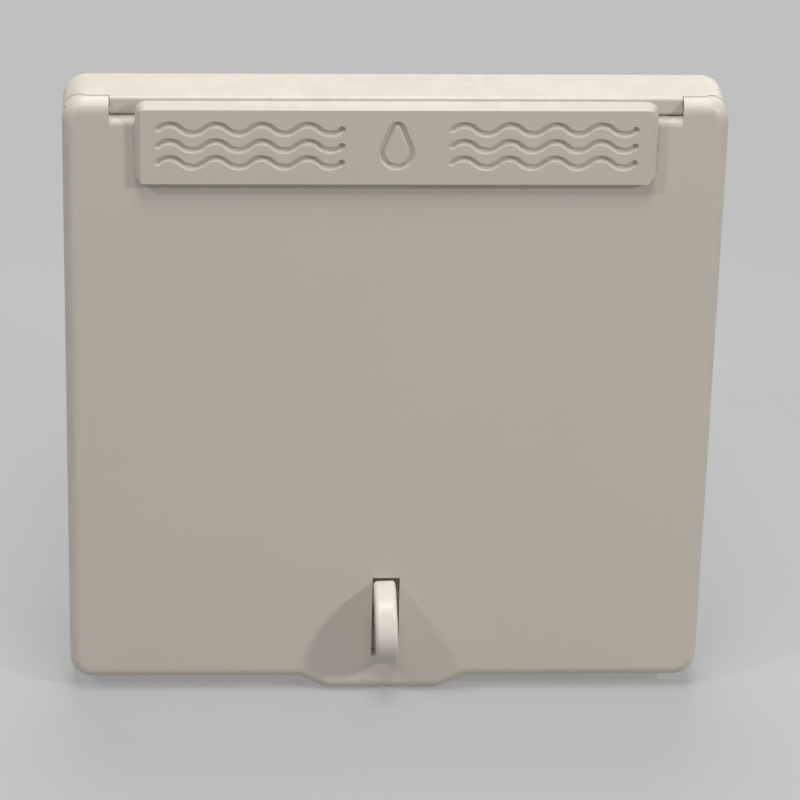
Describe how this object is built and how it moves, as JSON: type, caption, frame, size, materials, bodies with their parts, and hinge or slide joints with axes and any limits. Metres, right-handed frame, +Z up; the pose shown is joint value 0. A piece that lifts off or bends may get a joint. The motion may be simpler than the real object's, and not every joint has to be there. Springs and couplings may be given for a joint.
{
  "type": "caravan water filler hatch",
  "caption": "Square wall hatch with a top-hinged flap, a turn knob through a slot, and a screw-capped filler neck behind.",
  "frame": {"origin": "in the plane of the caravan's wall, at the middle of the four fixing holes", "axes": "+X to the right of someone facing the hatch, +Y into the caravan, +Z up"},
  "size_m": [0.14, 0.0952, 0.1434],
  "materials": {
    "shell_plastic": "satin",
    "plate_plastic": "satin",
    "knob_plastic": "satin",
    "neck_plastic": "matte",
    "cap_plastic": "satin",
    "seal_rubber": "matte",
    "foam": "matte",
    "steel": "satin"
  },
  "bodies": {
    "hatch": {"housing": "shell_plastic", "wall_gasket": "foam", "hinge_pin_left": "steel", "hinge_pin_right": "steel", "filler_neck": "neck_plastic", "neck_gasket": "seal_rubber", "neck_screw_1": "steel", "neck_screw_2": "steel", "neck_screw_3": "steel", "neck_screw_4": "steel", "vent_spigot": "neck_plastic", "vent_seal": "seal_rubber", "vent_nut": "neck_plastic"},
    "flap": {"flap": "shell_plastic", "label_plate": "plate_plastic", "flap_seal": "seal_rubber"},
    "knob": {"turn_knob": "knob_plastic", "knob_clip": "steel", "knob_washer": "steel", "knob_spring": "steel"},
    "cap_seat": {"cap_seal": "seal_rubber"},
    "cap": {"filler_cap": "cap_plastic"}
  },
  "joints": [
    {"name": "flap_hinge", "type": "hinge", "parent": "hatch", "child": "flap", "pos_m": [0, -0.0118, 0.0669], "axis": [-1, 0, 0], "range_deg": [0, 93]},
    {"name": "knob_turn", "type": "hinge", "parent": "hatch", "child": "knob", "pos_m": [0, -0.0118, -0.054], "axis": [0, 1, 0], "range_deg": [-87.5, 92.5]},
    {"name": "cap_lift", "type": "slide", "parent": "hatch", "child": "cap_seat", "axis": [0, -0.9397, 0.342], "range_m": [0, 0.007]},
    {"name": "cap_turn", "type": "hinge", "parent": "cap_seat", "child": "cap", "pos_m": [-0.012, 0.0344, 0.006], "axis": [0, -0.9397, 0.342], "range_deg": [0, 540]}
  ],
  "couplings": [
    {"joint": "cap_lift", "follows": "cap_turn", "m_per_rad": 0.0007427}
  ]
}
